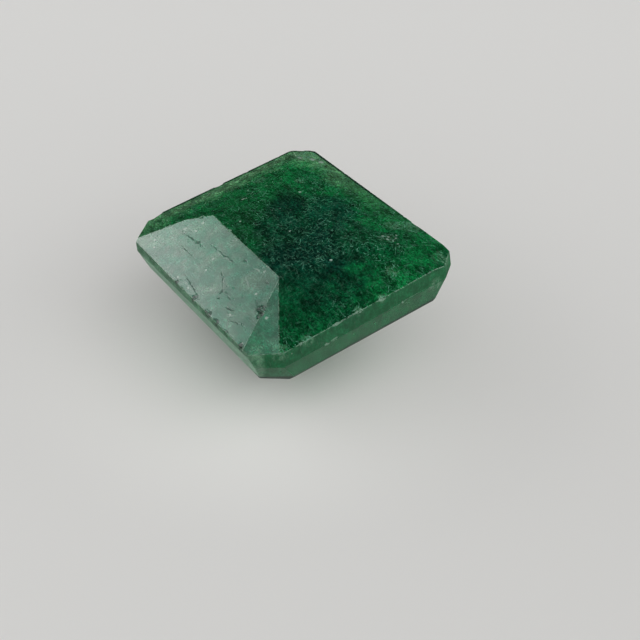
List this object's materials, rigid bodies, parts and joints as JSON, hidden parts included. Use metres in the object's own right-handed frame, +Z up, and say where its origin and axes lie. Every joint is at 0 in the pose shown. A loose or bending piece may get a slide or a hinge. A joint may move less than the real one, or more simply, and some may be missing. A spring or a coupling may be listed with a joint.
{
  "type": "faceted emerald gemstone",
  "caption": "Octagonal step-cut green gemstone with a shallow crown, a thick girdle and a deep pavilion, lying tilted on its flat base.",
  "frame": {"origin": "on the surface that the stone rests on, under the middle of its bounding box", "axes": "+X along the stone's long sides, +Y across it towards the side that is tilted up, +Z up from the surface it rests on"},
  "size_m": [0.017, 0.0134, 0.0083],
  "materials": {
    "emerald_green": "polished facets, worn edges, cloudy with inclusions"
  },
  "bodies": {
    "root": {"emerald": "emerald_green"}
  },
  "joints": []
}
